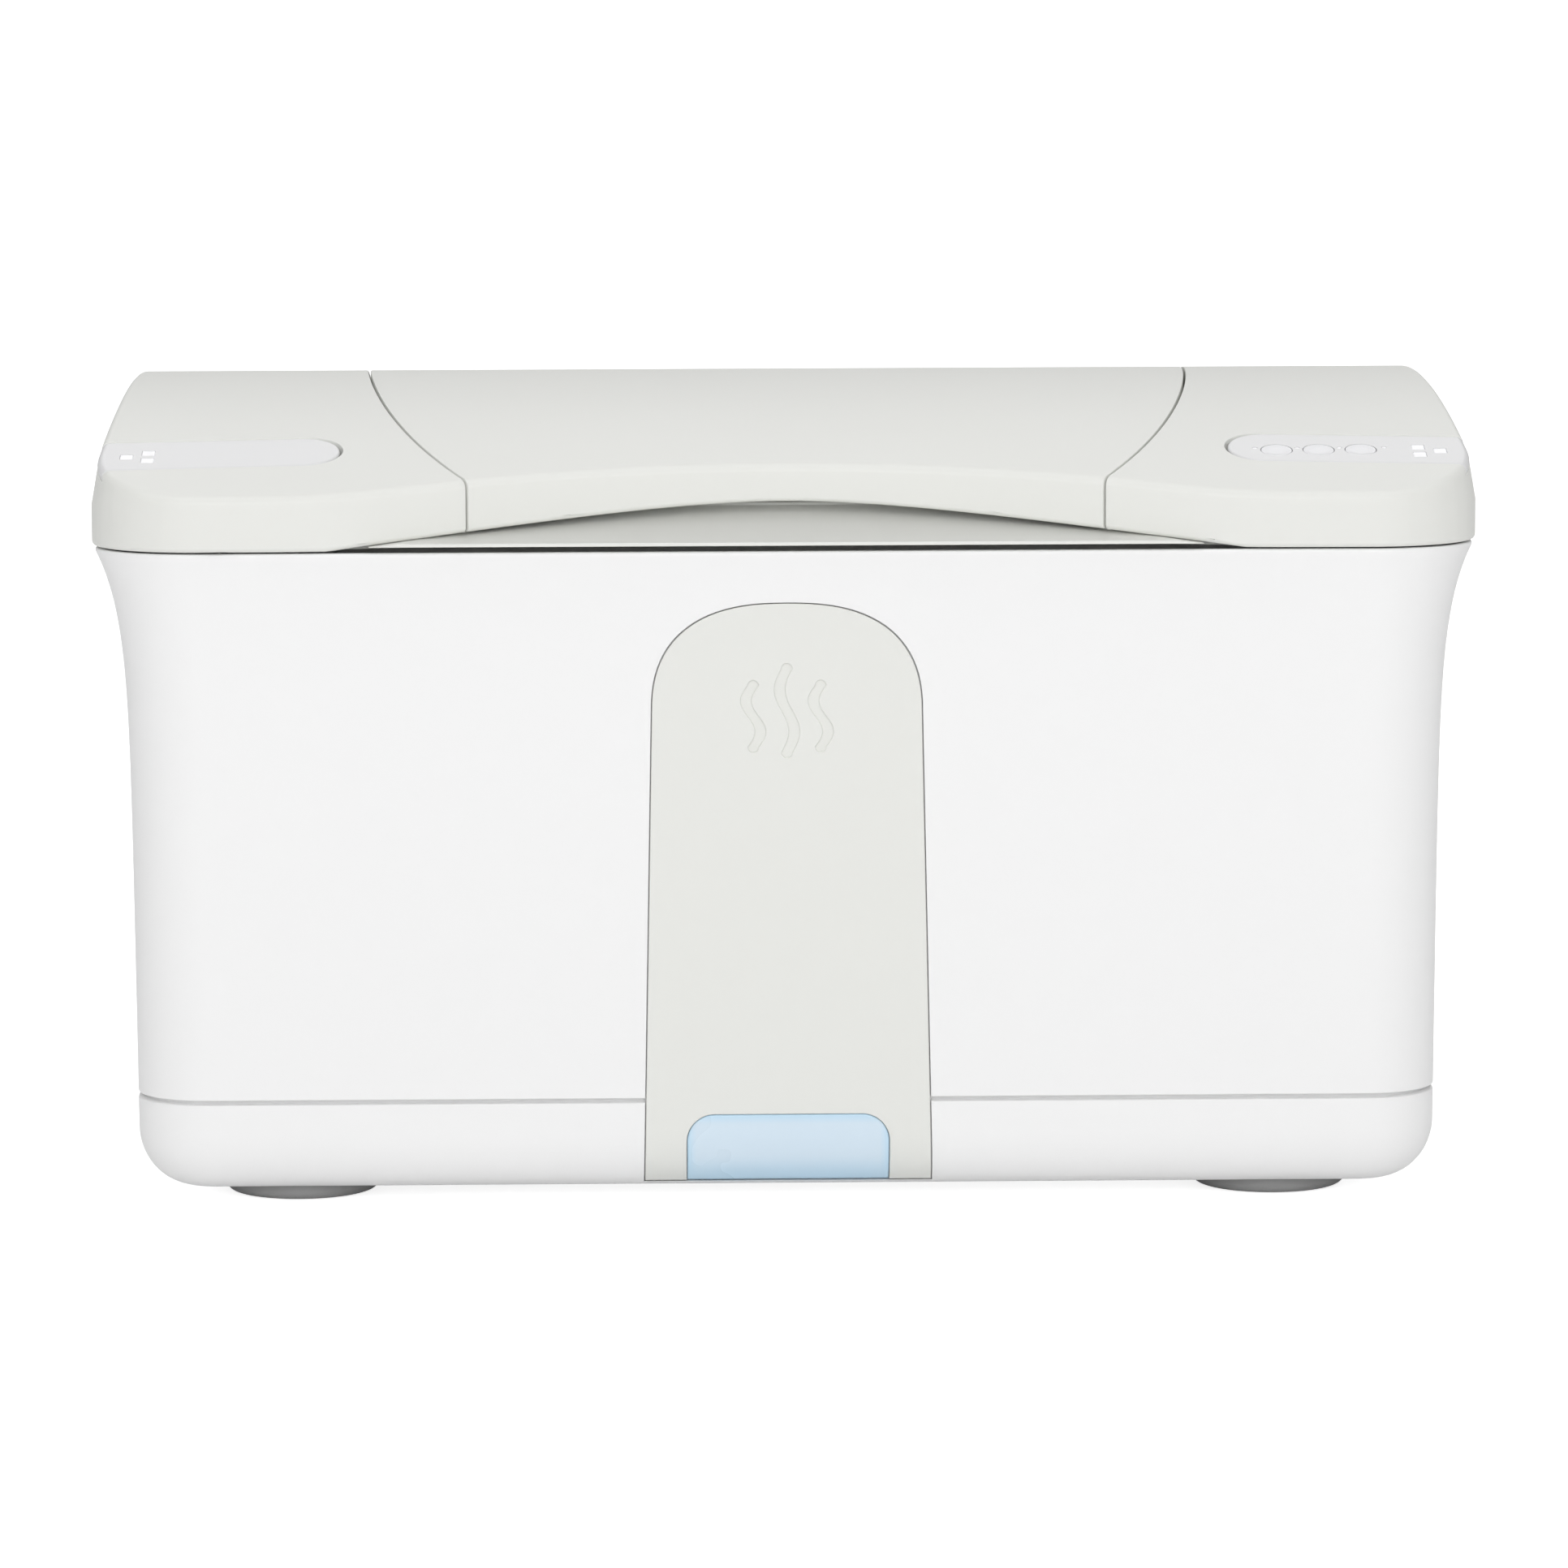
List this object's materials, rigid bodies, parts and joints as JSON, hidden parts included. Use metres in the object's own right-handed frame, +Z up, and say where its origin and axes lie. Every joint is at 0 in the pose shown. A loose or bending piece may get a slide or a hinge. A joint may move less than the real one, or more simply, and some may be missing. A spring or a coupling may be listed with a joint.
{
  "type": "baby wipe warmer",
  "caption": "Heated tub for wet wipes with a domed hinged lid, a dispensing flap in the lid, push buttons and a night-light window.",
  "frame": {"origin": "on the table under the middle of the whole object's box, which includes the rear hinges", "axes": "+X right as seen from the front, +Y from the front to the rear hinges, +Z up"},
  "size_m": [0.248, 0.1843, 0.1445],
  "materials": {
    "white_plastic": "satin moulded plastic",
    "warm_grey_plastic": "fine matte moulded plastic",
    "lilac_plastic": "translucent, satin",
    "blue_window": "translucent, frosted",
    "grey_rubber": "matte",
    "white_silicone": "matte silicone",
    "steel": "plain",
    "aluminium_sheet": "plain",
    "heater_film": "amber film",
    "foam": "closed-cell foam",
    "circuit_board": "solder mask",
    "black_plastic": "moulded",
    "red_wire": "soft wire cover",
    "white_light": "clear lamp cap"
  },
  "bodies": {
    "body": {"outer_shell": "white_plastic", "base_tray": "white_plastic", "front_panel": "warm_grey_plastic", "window_lens": "blue_window", "inner_tub": "white_plastic", "foot_front_left": "grey_rubber", "foot_front_right": "grey_rubber", "foot_rear_left": "grey_rubber", "foot_rear_right": "grey_rubber", "base_screws": "steel", "night_light_board": "circuit_board", "night_light_leds": "white_light", "heater_plate": "aluminium_sheet", "heater_film": "heater_film", "insulation_sheet": "foam", "thermistor": "black_plastic", "thermal_fuse": "steel", "main_board": "circuit_board", "board_parts": "black_plastic", "board_screws": "steel", "heater_leads": "red_wire", "dc_socket": "black_plastic", "dc_centre_pin": "steel", "dc_bezel": "black_plastic", "body_hinge_left": "white_plastic", "body_hinge_right": "white_plastic", "lid_pin_left": "steel", "lid_pin_right": "steel"},
    "lid": {"lid_top": "warm_grey_plastic", "lid_liner": "warm_grey_plastic", "lid_seal": "white_silicone", "lid_hinge_left": "warm_grey_plastic", "lid_hinge_right": "warm_grey_plastic", "left_light_strip": "lilac_plastic", "right_control_strip": "lilac_plastic", "left_light_board": "circuit_board", "control_board": "circuit_board", "left_light_tiles": "white_light", "right_light_tiles": "white_light", "indicator_lights": "white_light", "button_switches": "black_plastic", "liner_screws": "steel", "flap_bracket_left": "warm_grey_plastic", "flap_bracket_right": "warm_grey_plastic", "flap_pin_left": "steel", "flap_pin_right": "steel"},
    "flap": {"flap_shell": "warm_grey_plastic", "flap_liner": "warm_grey_plastic", "flap_seal": "white_silicone", "flap_barrel": "warm_grey_plastic"},
    "power_button": {"power_button": "lilac_plastic"},
    "heat_button": {"heat_button": "lilac_plastic"},
    "light_button": {"light_button": "lilac_plastic"}
  },
  "joints": [
    {"name": "lid_hinge", "type": "hinge", "parent": "body", "child": "lid", "pos_m": [0, 0.08915, 0.11815], "axis": [-1, 0, 0], "range_deg": [0, 100]},
    {"name": "flap_hinge", "type": "hinge", "parent": "lid", "child": "flap", "pos_m": [0, 0.05685, 0.13328], "axis": [-1, 0, 0], "range_deg": [0, 100]},
    {"name": "power_button_press", "type": "slide", "parent": "lid", "child": "power_button", "axis": [0, 0.2843, -0.9587], "range_m": [0, 0.0006], "stiffness_N_per_m": 400, "springref_m": -0.0005},
    {"name": "heat_button_press", "type": "slide", "parent": "lid", "child": "heat_button", "axis": [0, 0.2843, -0.9587], "range_m": [0, 0.0006], "stiffness_N_per_m": 400, "springref_m": -0.0005},
    {"name": "light_button_press", "type": "slide", "parent": "lid", "child": "light_button", "axis": [0, 0.2843, -0.9587], "range_m": [0, 0.0006], "stiffness_N_per_m": 400, "springref_m": -0.0005}
  ]
}
